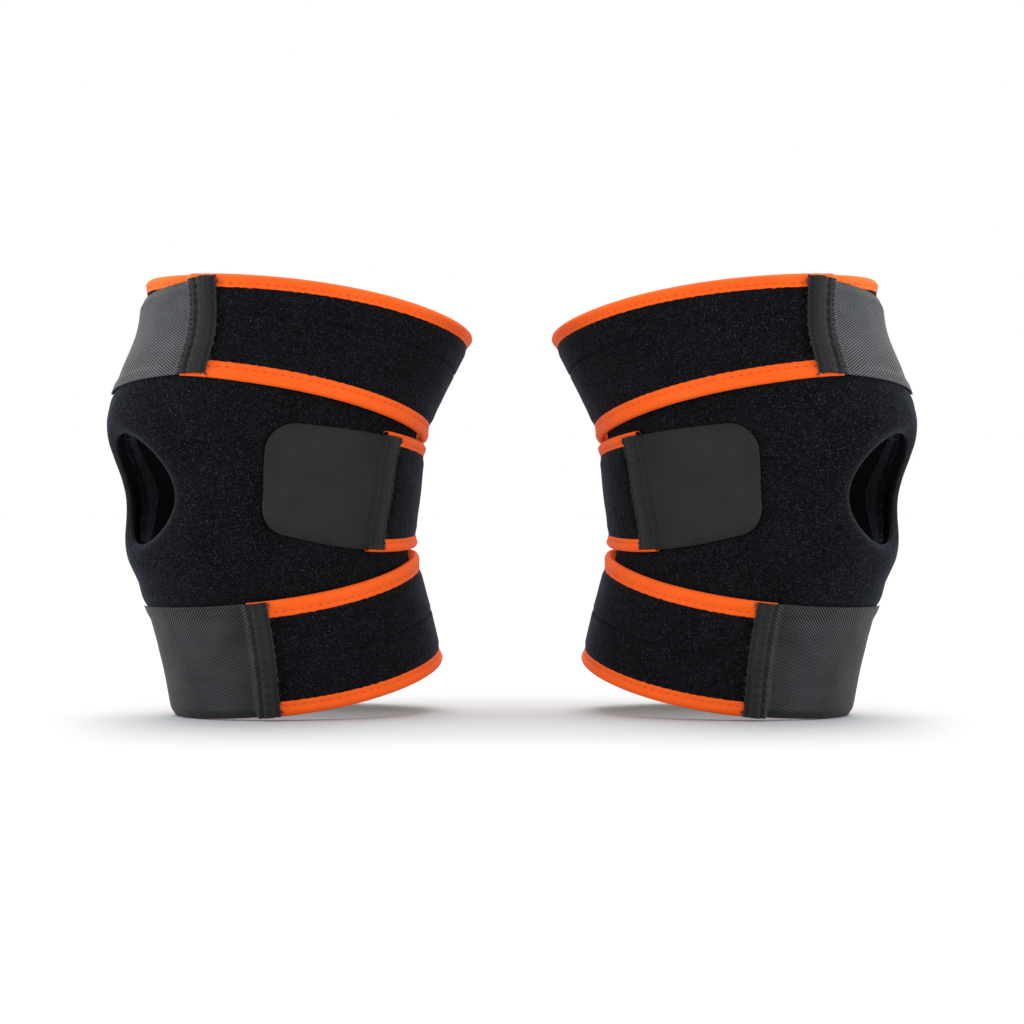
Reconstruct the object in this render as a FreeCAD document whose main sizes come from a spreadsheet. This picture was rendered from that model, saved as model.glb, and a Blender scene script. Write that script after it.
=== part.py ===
import FreeCAD, Part
import Sketcher
import os
import re

# A pair of wrap-around knee supports with an open kneecap ring. Each one is a bent sleeve, open
# down the back, closed by three sewn straps that end in hook tabs. All lengths are millimetres.
# One support is modelled in its own frame: +X to the back of the knee, -X to the front, -Y to the
# outer side where the straps close, +Z up. It is then turned and moved to its place on the left,
# and the support on the right is its mirror image.

doc = FreeCAD.newDocument("knee_supports")
sheet = doc.addObject("Spreadsheet::Sheet", "sizes")
VECTOR = FreeCAD.Vector
rows = []


def put(alias, value):
    """Write one driving dimension to the sheet under its alias."""
    rows.append(alias)
    sheet.set(f"A{len(rows)}", alias)
    sheet.set(f"B{len(rows)}", str(value))
    sheet.setAlias(f"B{len(rows)}", alias)


# The leg form: elliptical sections square to the leg, evenly spaced upwards. Each has the x of its
# centre, its tilt in degrees, its half depth from front to back and its half width.
SECTIONS = [
    (16.5, 10, 79.5, 57),
    (10, 10, 78.5, 58.5),
    (3.5, 10, 77.5, 60),
    (-4.5, 9, 77.5, 61),
    (-12, 5, 82, 62),
    (-13, 1, 85.5, 63),
    (-15, -4, 90, 64),
    (-10, -7, 90, 65.5),
    (2, -8, 90.5, 68),
    (11, -7.5, 96, 71),
    (20, -7, 104, 74),
]
put("first_section", -8)
put("section_step", 26.5)
for number, values in enumerate(SECTIONS):
    for measure, value in zip(("centre", "tilt", "depth", "width"), values):
        put(f"{measure}_{number}_of_form", value)

# Trim lines, each an arc seen from the side: its height at the front reach, at x = 0 and at the
# back reach.
EDGES = {
    "top_rim": (245, 234.5, 203),
    "upper_low": (192, 175.3, 139),
    "middle_high": (167.5, 163.9, 143.5),
    "middle_low": (132.5, 94.7, 109.5),
    "lower_high": (62, 74, 113),
    "bottom_rim": (-0.3, 7.4, 42.5),
}
put("front_reach", 115)
put("back_reach", 125)
put("side_reach", 120)
put("plug_start", -160)
put("plug_length", 120)
for edge, heights in EDGES.items():
    for place, height in zip(("front", "middle", "back"), heights):
        put(f"{edge}_{place}", height)

# Cloth layers: thicknesses, and distances out from the sleeve's outer face.
put("sleeve_wall", 4)
put("sleeve_tape_out", 0.6)
put("strap_lift", 1.6)
put("strap_wall", 3)
put("tape", 0.5)
put("ease", 0.1)
put("edge_ease", 1)
put("patch_lift", 2.3)
put("patch_wall", 0.9)
put("tab_lift", 3.6)
put("tab_wall", 1.4)
put("tab_over_strap", 6.9)
put("liner_gap", 0.6)
put("ring_wall", 5.4)
put("pocket_wall", 3)
put("stay_wall", 1.5)

# Widths, and angles round the leg: 0 is the back, 90 the inner side, 180 the front, 270 the outer
# side where the straps close.
put("sleeve_binding", 7)
put("panel_lap", 8)
put("panel_gap", 0.4)
put("inner_side", 90)
put("outer_side", 270)
put("inner_wing_end", -8.4)
put("outer_wing_end", 326)
put("wing_binding", 6.4)
put("wing_ease", 0.6)
put("strap_root", 359.5)
put("step", 1.8)
put("step_ease", 1.1)
put("patch_inset", 4)
put("opening_width", 61)
put("opening_height", 62)
put("opening_z", 128)
put("ring_border", 15)
put("ring_start", 120)
put("ring_end", 240)
put("stay_half_angle", 2.5)
put("stay_offset", 5.5)
put("pocket_half_angle", 12)
put("pocket_seam", 1.5)
put("pocket_low", 34)
put("turn_out", 33)
put("brace_offset", 127)
put("floor_lift", -0.32)

# Each strap: its two trim lines; at the section counted as its level, the angles where the strap
# ends, where the tab is sewn on over it and where the tab's free end lies; the twist of those ends
# per section; how far the tab's edges lie inside the trim lines, and how steeply it slopes down as
# it goes round the front; and the widths of the binding tape on its edges.
STRAPS = {
    "upper": dict(low="upper_low", high="top_rim", level=8, end=209, sewn=218.5, tip=154, twist=-3.5,
                  tab_low=-6, tab_high=7, slope=0.17, tape_low=8.5, tape_high=6.5),
    "middle": dict(low="middle_low", high="middle_high", level=5, end=291.5, sewn=299, tip=246, twist=3.1,
                   tab_low=1, tab_high=2.5, slope=0, tape_low=6.5, tape_high=6.5),
    "lower": dict(low="bottom_rim", high="lower_high", level=2, end=230, sewn=238.5, tip=160, twist=1.6,
                  tab_low=0.35, tab_high=0.2, slope=0, tape_low=7.5, tape_high=8),
}
for strap, plan in STRAPS.items():
    for measure, value in plan.items():
        if measure not in ("low", "high"):
            put(f"{strap}_{measure}", value)
doc.recompute()


def sized(expression):
    """Expression with each alias in it turned into a reference to the sheet."""
    return re.sub(r"[a-z]\w*", lambda word: f"sizes.{word[0]}" if word[0] in rows else word[0], expression)


def ask(expression):
    """Number that an expression over the sheet comes to."""
    return float(sheet.evalExpression(sized(expression)))


def bind(item, **properties):
    """Bind properties of a document object to expressions over the sheet."""
    for name, expression in properties.items():
        item.setExpression(name, sized(expression))
    return item


def strip(name, inner, outer, start, end):
    """Solid strip round the leg between two layer offsets and two angles, as long as the form.

    An angle that changes up the leg is written with {section}, the section's number.
    """
    faces = []
    for number in range(len(SECTIONS)):
        arcs = []
        for side, offset in (("inner", inner), ("outer", outer)):
            arc = doc.addObject("Part::Ellipse", f"{name}_{number}_{side}")
            arc.Placement.Rotation = FreeCAD.Rotation(VECTOR(0, 1, 0), 1)
            arc.setExpression(".Placement.Base.x", sized(f"centre_{number}_of_form"))
            arc.setExpression(".Placement.Base.z", sized(f"first_section + {number} * section_step"))
            arc.setExpression(".Placement.Rotation.Angle", sized(f"-tilt_{number}_of_form"))
            bind(arc, MajorRadius=f"depth_{number}_of_form + ({offset})",
                 MinorRadius=f"width_{number}_of_form + ({offset})",
                 Angle1=start.format(section=number), Angle2=end.format(section=number))
            arcs.append(arc)
        face = doc.addObject("Part::RuledSurface", f"{name}_{number}")
        face.Curve1 = (arcs[0], ["Edge1"])
        face.Curve2 = (arcs[1], ["Edge1"])
        faces.append(face)
    loft = doc.addObject("Part::Loft", name)
    loft.Sections = faces
    loft.Solid = True
    loft.Ruled = False
    return loft


def arc_through(points):
    """Arc through three points of the side view, wound so that a sketch keeps its short way round."""
    first, middle, last = points
    rise = (middle.y - first.y) * (last.x - first.x) - (last.y - first.y) * (middle.x - first.x)
    return Part.Arc(last, middle, first) if rise > 0 else Part.Arc(first, middle, last)


def band(name, low, low_shift, high, high_shift, slope="0"):
    """Block across the leg between two trim lines, each moved up by its shift."""
    sketch = doc.addObject("Sketcher::SketchObject", f"{name}_profile")
    sketch.Placement = FreeCAD.Placement(VECTOR(), FreeCAD.Rotation(VECTOR(1, 0, 0), 90))
    reach = {"front": ask("-front_reach"), "middle": 0, "back": ask("back_reach")}
    lines = []
    for edge, shift in ((low, low_shift), (high, high_shift)):
        points = [VECTOR(x, ask(f"{edge}_{place} + ({shift})"), 0) for place, x in reach.items()]
        arc = sketch.addGeometry(arc_through(points))
        start = sketch.Geometry[arc].StartPoint
        front = 1 if start.x < 0 else 2
        crown = sketch.addGeometry(Part.Point(points[1]), True)
        lines.append((arc, front, 3 - front, crown, points))
    (low_arc, low_front, low_back, low_crown, low_points) = lines[0]
    (high_arc, high_front, high_back, high_crown, high_points) = lines[1]
    rear = sketch.addGeometry(Part.LineSegment(low_points[2], high_points[2]))
    nose = sketch.addGeometry(Part.LineSegment(high_points[0], low_points[0]))
    joins = ((low_arc, low_back, rear, 1), (rear, 2, high_arc, high_back),
             (high_arc, high_front, nose, 1), (nose, 2, low_arc, low_front))
    for join in joins:
        sketch.addConstraint(Sketcher.Constraint("Coincident", *join))
    sketch.addConstraint(Sketcher.Constraint("Vertical", rear))
    sketch.addConstraint(Sketcher.Constraint("Vertical", nose))
    for crown, arc in ((low_crown, low_arc), (high_crown, high_arc)):
        sketch.addConstraint(Sketcher.Constraint("PointOnObject", crown, 1, arc))
        sketch.addConstraint(Sketcher.Constraint("PointOnObject", crown, 1, -2))
    sketch.solve()
    dimensions = [("DistanceX", rear, 1, reach["back"], "back_reach"),
                  ("DistanceX", nose, 1, reach["front"], "-front_reach")]
    places = ((low, low_shift, low_points, ((nose, 2), (low_crown, 1), (rear, 1))),
              (high, high_shift, high_points, ((nose, 1), (high_crown, 1), (rear, 2))))
    for edge, shift, points, ends in places:
        for place, point, (line, end) in zip(reach, points, ends):
            dimensions.append(("DistanceY", line, end, point.y, f"{edge}_{place} + ({shift})"))
    for kind, line, end, value, expression in dimensions:
        number = sketch.addConstraint(Sketcher.Constraint(kind, -1, 1, line, end, float(value)))
        sketch.solve()
        sketch.setExpression(f"Constraints[{number}]", sized(expression))
    block = doc.addObject("Part::Extrusion", name)
    block.Base = sketch
    block.DirMode = "Custom"
    block.Dir = VECTOR(0, 1, 0)
    block.setExpression("Dir.z", sized(f"-({slope})"))
    block.Solid = True
    bind(block, LengthFwd="side_reach", LengthRev="side_reach")
    return block


def common(name, first, second):
    """The part of the first solid that lies in the second."""
    result = doc.addObject("Part::Common", name)
    result.Base, result.Tool = first, second
    return result


def cut(name, base, tool):
    """The first solid less the second."""
    result = doc.addObject("Part::Cut", name)
    result.Base, result.Tool = base, tool
    return result


def front_plug(name, border):
    """Oval plug through the front of the knee, larger than the kneecap opening by the border."""
    oval = doc.addObject("Part::Ellipse", f"{name}_oval")
    oval.Placement.Rotation = FreeCAD.Rotation(VECTOR(0, 1, 0), 90)
    oval.setExpression(".Placement.Base.x", sized("plug_start"))
    oval.setExpression(".Placement.Base.z", sized("opening_z"))
    bind(oval, MajorRadius=f"opening_height / 2 + {border}", MinorRadius=f"opening_width / 2 + {border}")
    plug = doc.addObject("Part::Extrusion", name)
    plug.Base = oval
    plug.DirMode = "Custom"
    plug.Dir = VECTOR(1, 0, 0)
    plug.Solid = True
    bind(plug, LengthFwd="plug_length")
    return plug


pieces = {}

# The sleeve: one sheet of padded cloth from the inner wing round the front to the outer wing. It
# bends at the knee, so it is three panels that meet under the straps' edges.
SLEEVE = ("inner_wing_end + wing_ease", "outer_wing_end - wing_ease")
sleeve = strip("sleeve", "-sleeve_wall", "0", *SLEEVE)
panels = {
    "thigh_panel": ("upper_low", "panel_lap", "top_rim", "-edge_ease"),
    "knee_panel": ("lower_high", "-panel_lap + panel_gap", "upper_low", "panel_lap - panel_gap"),
    "calf_panel": ("bottom_rim", "edge_ease", "lower_high", "-panel_lap"),
}
for name, limits in panels.items():
    pieces[name] = common(f"{name}_whole", sleeve, band(f"{name}_band", *limits))
opening = front_plug("opening", "0")
pieces["knee_panel"] = cut("knee_panel_open", pieces["knee_panel"], opening)

# The oval ring of padding sewn behind the kneecap opening.
LINING = "-sleeve_wall - liner_gap"
ring_layer = strip("ring_layer", f"{LINING} - ring_wall", LINING, "ring_start", "ring_end")
ring_disc = common("ring_disc", ring_layer, front_plug("ring_plug", "ring_border"))
pieces["kneecap_ring"] = cut("kneecap_ring_open", ring_disc, opening)

# Binding tape folded over the sleeve's four edges.
tape = strip("sleeve_tape", LINING, "sleeve_tape_out", "inner_wing_end", "outer_wing_end")
fold = strip("sleeve_fold", "-sleeve_wall - ease", "ease", "inner_wing_end + tape", "outer_wing_end - tape")
inside = band("sleeve_fold_band", "bottom_rim", "tape", "top_rim", "-tape")
folded = common("sleeve_fold_room", fold, inside)
rims = {
    "top_binding": ("top_rim", "-sleeve_binding", "top_rim", "0"),
    "bottom_binding": ("bottom_rim", "0", "bottom_rim", "sleeve_binding"),
}
for name, limits in rims.items():
    pieces[name] = cut(f"{name}_folded", common(f"{name}_flat", tape, band(f"{name}_band", *limits)), folded)
between = band("wing_band", "bottom_rim", "sleeve_binding + panel_gap",
               "top_rim", "-sleeve_binding - panel_gap")
wings = {
    "inner_wing_binding": ("inner_wing_end", "inner_wing_end + wing_binding"),
    "outer_wing_binding": ("outer_wing_end - wing_binding", "outer_wing_end"),
}
for name, limits in wings.items():
    layer = strip(f"{name}_layer", LINING, "sleeve_tape_out", *limits)
    pieces[name] = cut(f"{name}_folded", common(f"{name}_flat", layer, between), folded)

# Sprung stays down both sides of the knee, two in each pocket sewn to the sleeve's lining.
for side in ("inner", "outer"):
    first = f"{side}_side - pocket_half_angle"
    last = f"{side}_side + pocket_half_angle"
    pocket = strip(f"{side}_pocket_layer", f"{LINING} - pocket_wall", LINING, first, last)
    outline = band(f"{side}_pocket_band", "bottom_rim", "pocket_low", "top_rim", "-pocket_low")
    flat = common(f"{side}_pocket_flat", pocket, outline)
    hollow = strip(f"{side}_pocket_hollow", f"{LINING} - pocket_wall + tape + ease", f"{LINING} + tape",
                   f"{first} + pocket_seam", f"{last} - pocket_seam")
    room = band(f"{side}_pocket_room", "bottom_rim", "pocket_low + pocket_seam",
                "top_rim", "-pocket_low - pocket_seam")
    pieces[f"{side}_stay_pocket"] = cut(f"{side}_pocket_hollowed", flat,
                                        common(f"{side}_pocket_inside", hollow, room))
    length = band(f"{side}_stay_band", "bottom_rim", "pocket_low + 2 * pocket_seam",
                  "top_rim", "-pocket_low - 2 * pocket_seam")
    stays = []
    for order, shift in (("front", "-stay_offset"), ("rear", "stay_offset")):
        blade = strip(f"{side}_{order}_blade", f"{LINING} - ease - stay_wall", f"{LINING} - ease",
                      f"{side}_side + {shift} - stay_half_angle", f"{side}_side + {shift} + stay_half_angle")
        stays.append(common(f"{side}_{order}_stay", blade, length))
    group = doc.addObject("Part::Compound", f"{side}_stay_group")
    group.Links = stays
    pieces[f"{side}_stays"] = group

# The straps, each with binding tape on both long edges, a hook tab sewn on over its end and the
# patch of hooks under the tab.
for strap, plan in STRAPS.items():
    low, high = plan["low"], plan["high"]
    turn = f"{strap}_twist * ({{section}} - {strap}_level)"
    end, sewn_edge, tip = (f"{strap}_{place} + {turn}" for place in ("end", "sewn", "tip"))
    cloth = strip(f"{strap}_cloth", "strap_lift + tape + ease", "strap_lift + tape + ease + strap_wall",
                  end, "strap_root")
    between = band(f"{strap}_cloth_band", low, "edge_ease", high, "-edge_ease")
    pieces[f"{strap}_strap"] = common(f"{strap}_cloth_cut", cloth, between)
    wrap = strip(f"{strap}_tape", "strap_lift", "strap_lift + strap_wall + 2 * (tape + ease)",
                 end, "strap_root")
    gap = strip(f"{strap}_fold", "strap_lift + tape", "strap_lift + strap_wall + tape + 2 * ease",
                f"{end} - step", "strap_root + step_ease")
    room = common(f"{strap}_fold_room", gap, band(f"{strap}_fold_band", low, "tape", high, "-tape"))
    borders = {
        "top": (high, f"-{strap}_tape_high", high, "0"),
        "low": (low, "0", low, f"{strap}_tape_low"),
    }
    for border, limits in borders.items():
        flat = common(f"{strap}_{border}_tape", wrap, band(f"{strap}_{border}_band", *limits))
        pieces[f"{strap}_strap_{border}_binding"] = cut(f"{strap}_{border}_tape_folded", flat, room)
    outline = band(f"{strap}_tab_band", low, f"{strap}_tab_low", high, f"-{strap}_tab_high", f"{strap}_slope")
    sewn = strip(f"{strap}_tab_sewn", "tab_over_strap", "tab_over_strap + tab_wall",
                 f"{end} - step", sewn_edge)
    free = strip(f"{strap}_tab_free", "tab_lift", "tab_lift + tab_wall", tip, f"{end} - step_ease")
    rise = strip(f"{strap}_tab_rise", "tab_lift + ease", "tab_over_strap + tab_wall - ease",
                 f"{end} - step + ease", f"{end} - step_ease - ease")
    stepped = doc.addObject("Part::MultiFuse", f"{strap}_tab_stepped")
    stepped.Shapes = [sewn, rise, free]
    pieces[f"{strap}_tab"] = common(f"{strap}_tab_cut", stepped, outline)
    hooks = strip(f"{strap}_hooks", "patch_lift", "patch_lift + patch_wall",
                  f"{tip} + patch_inset", f"{end} - patch_inset")
    field = band(f"{strap}_hooks_band", low, f"{strap}_tab_low + patch_inset",
                 high, f"-{strap}_tab_high - patch_inset", f"{strap}_slope")
    pieces[f"{strap}_hook_patch"] = common(f"{strap}_hooks_cut", hooks, field)

# Each piece stands on the left as it was modelled, and on the right as a mirror image.
nodes = []
for name, piece in pieces.items():
    piece.Placement.Rotation = FreeCAD.Rotation(VECTOR(0, 0, 1), 1)
    piece.setExpression(".Placement.Base.x", "-sizes.brace_offset")
    piece.setExpression(".Placement.Base.z", "sizes.floor_lift")
    piece.setExpression(".Placement.Rotation.Angle", "sizes.turn_out")
    piece.Label = f"left_{name}"
    mirrored = doc.addObject("Part::Mirroring", f"{name}_mirrored")
    mirrored.Source = piece
    mirrored.Normal = VECTOR(1, 0, 0)
    mirrored.Label = f"right_{name}"
    nodes += [piece, mirrored]
doc.recompute()

for item in doc.Objects:
    if "Invalid" in item.State or "Error" in item.State:
        raise RuntimeError(f"{item.Name} is {item.State}")
for node in nodes:
    if node.Shape.isNull() or not node.Shape.isValid() or not node.Shape.Solids:
        raise RuntimeError(f"{node.Label} has no valid solid")

os.makedirs("parts", exist_ok=True)
for node in nodes:
    node.Shape.exportStep(f"parts/{node.Label}.step")
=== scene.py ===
import math

import bmesh
import bpy
import numpy as np
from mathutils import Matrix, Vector
from numpy.linalg import norm

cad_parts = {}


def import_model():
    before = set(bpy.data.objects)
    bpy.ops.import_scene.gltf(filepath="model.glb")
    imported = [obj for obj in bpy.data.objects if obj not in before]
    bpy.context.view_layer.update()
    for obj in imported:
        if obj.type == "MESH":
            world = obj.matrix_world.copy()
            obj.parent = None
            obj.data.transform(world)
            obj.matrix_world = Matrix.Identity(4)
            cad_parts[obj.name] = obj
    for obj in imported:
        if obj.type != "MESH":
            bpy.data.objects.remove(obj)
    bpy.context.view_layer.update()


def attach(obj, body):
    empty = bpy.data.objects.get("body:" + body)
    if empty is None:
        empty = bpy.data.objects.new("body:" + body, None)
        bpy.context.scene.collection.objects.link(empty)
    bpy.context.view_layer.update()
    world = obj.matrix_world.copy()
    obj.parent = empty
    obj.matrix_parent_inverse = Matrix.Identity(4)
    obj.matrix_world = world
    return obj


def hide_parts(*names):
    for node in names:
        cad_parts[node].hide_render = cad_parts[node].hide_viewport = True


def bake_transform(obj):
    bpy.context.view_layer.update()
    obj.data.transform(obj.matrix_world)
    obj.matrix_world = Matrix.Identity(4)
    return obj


# The looks of a pair of wrap-around knee supports. One support is worked out in its own frame, in
# millimetres: +X to the back of the knee, -Y to the outer side where the straps close, +Z up. It is
# then put in its place on the left, and the one on the right is its mirror image.

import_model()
MM = 0.001

# ---- the leg form

# Sections square to the leg, evenly spaced upwards: x of the centre, tilt in degrees, half depth
# and half width.
SECTIONS = np.array([
    (16.5, 10, 79.5, 57), (10, 10, 78.5, 58.5), (3.5, 10, 77.5, 60), (-4.5, 9, 77.5, 61),
    (-12, 5, 82, 62), (-13, 1, 85.5, 63), (-15, -4, 90, 64), (-10, -7, 90, 65.5),
    (2, -8, 90.5, 68), (11, -7.5, 96, 71), (20, -7, 104, 74)], float)
FIRST_Z, STEP = -8.0, 26.5
TURN, OFFSET, LIFT = 33.0, 127.0, -0.32

# Trim lines seen from the side: heights at x = -115, 0 and 125.
EDGES = {
    "top_rim": (246.5, 238.5, 211), "upper_low": (192, 175.3, 139), "middle_high": (167.5, 163.9, 143.5),
    "middle_low": (132.5, 94.7, 109.5), "lower_high": (62, 74, 113), "bottom_rim": (-0.3, 7.4, 42.5)}
FRONT, BACK = -115.0, 125.0

KNOTS = np.vstack([2 * SECTIONS[0] - SECTIONS[1], SECTIONS, 2 * SECTIONS[-1] - SECTIONS[-2]])

# How far the loose cloth at the upper back stands out past the form.
REAR_FLARE = 1.6

# Search for a trim line: its steps, gain and start.
LEVEL_STEPS, LEVEL_GAIN, LEVEL_START = 14, 0.8, 5.0


def smooth(t):
    """Smooth step from 0 to 1."""
    t = np.clip(t, 0, 1)
    return t * t * (3 - 2 * t)


def skin(n, u, off):
    """Points at section number n, angle u in degrees and distance off out from the sleeve's face."""
    n, u, off = np.broadcast_arrays(np.asarray(n, float), np.asarray(u, float), np.asarray(off, float))
    i = np.clip(np.floor(n).astype(int), 0, len(SECTIONS) - 2)
    t = (n - i)[..., None]
    a, b, c, d = (KNOTS[i + k] for k in range(4))
    row = 0.5 * (2 * b + (c - a) * t + (2 * a - 5 * b + 4 * c - d) * t ** 2
                 + (3 * b - a - 3 * c + d) * t ** 3)
    centre, tilt, depth, width = (row[..., k] for k in range(4))
    tilt, angle = np.radians(tilt), np.radians(u)
    off = off + REAR_FLARE * smooth((n - 6.6) / 2.6) * smooth((np.cos(angle) - 0.35) / 0.5)
    reach = (depth + off) * np.cos(angle)
    return np.stack([centre + reach * np.cos(tilt), (width + off) * np.sin(angle),
                     FIRST_Z + STEP * n + reach * np.sin(tilt)], -1)


def height(edge, x):
    """Height of a trim line at x: the parabola through its three heights."""
    low, middle, high = EDGES[edge]
    curve = ((low - middle) / FRONT - (high - middle) / BACK) / (FRONT - BACK)
    slope = (low - middle) / FRONT - curve * FRONT
    return middle + slope * x + curve * x * x


def level(edge, shift, u, off, slope=0.0):
    """Section number where the surface at angle u meets a trim line moved up by shift."""
    u, off, shift = np.broadcast_arrays(*(np.asarray(v, float) for v in (u, off, shift)))
    n = np.full(u.shape, LEVEL_START)
    for _ in range(LEVEL_STEPS):
        p = skin(n, u, off)
        n = n + LEVEL_GAIN * (height(edge, p[..., 0]) + shift - slope * p[..., 1] - p[..., 2]) / STEP
    return n


def rim_to_rim(inset, u, off):
    """Section numbers at angle u of the sleeve's lower and upper rims, moved in by inset."""
    return level("bottom_rim", inset, u, off), level("top_rim", -inset, u, off)


def spaced(edge, shift, off, start, end, step):
    """Angles from start to end at equal distances along a trim line, and those distances."""
    u = np.linspace(start, end, 500)
    p = skin(level(edge, shift, u, off), u, off)
    length = np.concatenate([[0], np.cumsum(norm(np.diff(p, axis=0), axis=1))])
    count = max(4, int(round(length[-1] / step)) + 1)
    s = np.linspace(0, length[-1], count)
    return np.interp(s, length, u), s


def hump(d, width):
    """Bell of height 1 at d = 0."""
    return np.exp(-(d / width) ** 2)


def ripple(p, wave, seed):
    """Soft random relief from -1 to 1 with waves of about the given length."""
    rng = np.random.default_rng(seed)
    total = np.zeros(p.shape[:-1])
    for _ in range(6):
        way = rng.normal(size=3)
        way /= norm(way)
        total += np.sin(p @ way * (2 * math.pi / (wave * rng.uniform(0.7, 1.4))) + rng.uniform(0, 6.28))
    return total / 6


def jitter(s, wave, seed):
    """Random line from -1 to 1 along distance s."""
    rng = np.random.default_rng(seed)
    total = np.zeros(np.shape(s))
    for k in range(5):
        total += np.sin(s * (2 * math.pi / (wave * rng.uniform(0.45, 1.6))) + rng.uniform(0, 6.28))
    return total / 3


# ---- placing

COS, SIN = math.cos(math.radians(TURN)), math.sin(math.radians(TURN))


def world(p, side):
    """Local millimetres to metres in the shared frame."""
    p = np.asarray(p, float)
    x = p[..., 0] * COS - p[..., 1] * SIN - OFFSET
    y = p[..., 0] * SIN + p[..., 1] * COS
    z = p[..., 2] + LIFT
    return np.stack([-x if side == "right" else x, y, z], -1) * MM


def build(name, side, points, faces, uv, materials, slots=None):
    """Mesh object from local points and faces, with a map of distances along the cloth."""
    mesh = bpy.data.meshes.new(name)
    mesh.from_pydata(world(points, side).tolist(), [], [tuple(int(i) for i in f) for f in faces])
    layer = mesh.uv_layers.new(name="cloth")
    loops = np.zeros(len(mesh.loops), np.int32)
    mesh.loops.foreach_get("vertex_index", loops)
    layer.data.foreach_set("uv", (np.asarray(uv, float) * MM)[loops].astype(np.float32).ravel())
    for material in materials:
        mesh.materials.append(material)
    if slots is not None:
        mesh.polygons.foreach_set("material_index", np.asarray(slots, np.int32))
    work = bmesh.new()
    work.from_mesh(mesh)
    bmesh.ops.recalc_face_normals(work, faces=work.faces)
    work.to_mesh(mesh)
    work.free()
    mesh.polygons.foreach_set("use_smooth", np.ones(len(mesh.polygons), bool))
    mesh.update()
    obj = bpy.data.objects.new(name, mesh)
    bpy.context.scene.collection.objects.link(obj)
    return obj


def grid_quads(rows, columns):
    i, j = np.meshgrid(np.arange(rows - 1), np.arange(columns - 1), indexing="ij")
    k = (i * columns + j).ravel()
    return np.stack([k, k + columns, k + columns + 1, k + 1], -1)


def sheet_mesh(name, side, front, back, quads, uv, materials):
    """Closed sheet from its front and back points and the faces of one side."""
    count = len(front)
    edges = {}
    for quad in quads.tolist():
        for a, b in zip(quad, quad[1:] + quad[:1]):
            key = (a, b) if a < b else (b, a)
            edges[key] = None if key in edges else (a, b)
    rim = [e for e in edges.values() if e]
    faces = quads.tolist() + [[i + count for i in reversed(q)] for q in quads.tolist()]
    faces += [[b, a, a + count, b + count] for a, b in rim]
    slots = [0] * len(quads) + [len(materials) - 1] * len(quads) + [0] * len(rim)
    return build(name, side, np.vstack([front, back]), faces, np.vstack([uv, uv]), materials, slots)


def ribbon(name, side, front, back, uv, materials):
    """Closed sheet from two grids of points."""
    rows, columns = front.shape[:2]
    return sheet_mesh(name, side, front.reshape(-1, 3), back.reshape(-1, 3), grid_quads(rows, columns),
                      uv.reshape(-1, 2), materials)


# ---- materials

def material(name, rough, sheen=0.0, sheen_rough=0.5, specular=0.5):
    """New material, its node tree and its shader, with the even values on the shader's sockets."""
    made = bpy.data.materials.new(name)
    made.use_nodes = True
    shader = made.node_tree.nodes["Principled BSDF"]
    shader.inputs["Roughness"].default_value = rough
    shader.inputs["Sheen Weight"].default_value = sheen
    shader.inputs["Sheen Roughness"].default_value = sheen_rough
    shader.inputs["Specular IOR Level"].default_value = specular
    return made, made.node_tree, shader


def node(tree, kind, **values):
    """New node with the given inputs or settings."""
    made = tree.nodes.new(kind)
    for key, value in values.items():
        if key in made.inputs.keys():
            made.inputs[key].default_value = value
        else:
            setattr(made, key, value)
    return made


def maths(tree, operation, first, second=None, clamp=False):
    """Output of a maths node fed by sockets or numbers."""
    made = tree.nodes.new("ShaderNodeMath")
    made.operation = operation
    made.use_clamp = clamp
    for socket, value in zip(made.inputs, (first, second)):
        if hasattr(value, "default_value"):
            tree.links.new(value, socket)
        elif value is not None:
            socket.default_value = value
    return made.outputs[0]


def plus(tree, first, second):
    return maths(tree, "ADD", first, second)


def times(tree, first, second):
    return maths(tree, "MULTIPLY", first, second)


def on_object(tree):
    """Place on the object, in metres."""
    return tree.nodes.new("ShaderNodeTexCoord").outputs["Object"]


def paint(tree, shader, colour):
    tree.links.new(colour, shader.inputs["Base Color"])


def ramp(tree, factor, stops):
    """Colour from a factor, between two (position, colour) stops."""
    made = tree.nodes.new("ShaderNodeValToRGB")
    for element, (position, colour) in zip(made.color_ramp.elements, stops):
        element.position, element.color = position, (*colour, 1)
    tree.links.new(factor, made.inputs[0])
    return made.outputs[0]


def mixed(tree, factor, first, second):
    made = tree.nodes.new("ShaderNodeMix")
    made.data_type = "RGBA"
    for socket, value in ((made.inputs[0], factor), (made.inputs[6], first), (made.inputs[7], second)):
        if isinstance(value, float):
            socket.default_value = value
        elif isinstance(value, tuple):
            socket.default_value = (*value, 1)
        else:
            tree.links.new(value, socket)
    return made.outputs[2]


def bumped(tree, shader, steps):
    """Chain of bumps onto the shader: each step is (height, strength, depth in metres)."""
    last = None
    for height_socket, strength, depth in steps:
        bump = node(tree, "ShaderNodeBump", Strength=strength, Distance=depth)
        tree.links.new(height_socket, bump.inputs["Height"])
        if last:
            tree.links.new(last, bump.inputs["Normal"])
        last = bump.outputs[0]
    tree.links.new(last, shader.inputs["Normal"])


def noise(tree, where, scale, detail=2.0, rough=0.5):
    made = node(tree, "ShaderNodeTexNoise", Scale=scale, Detail=detail, Roughness=rough)
    tree.links.new(where, made.inputs["Vector"])
    return made.outputs["Fac"]


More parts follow.
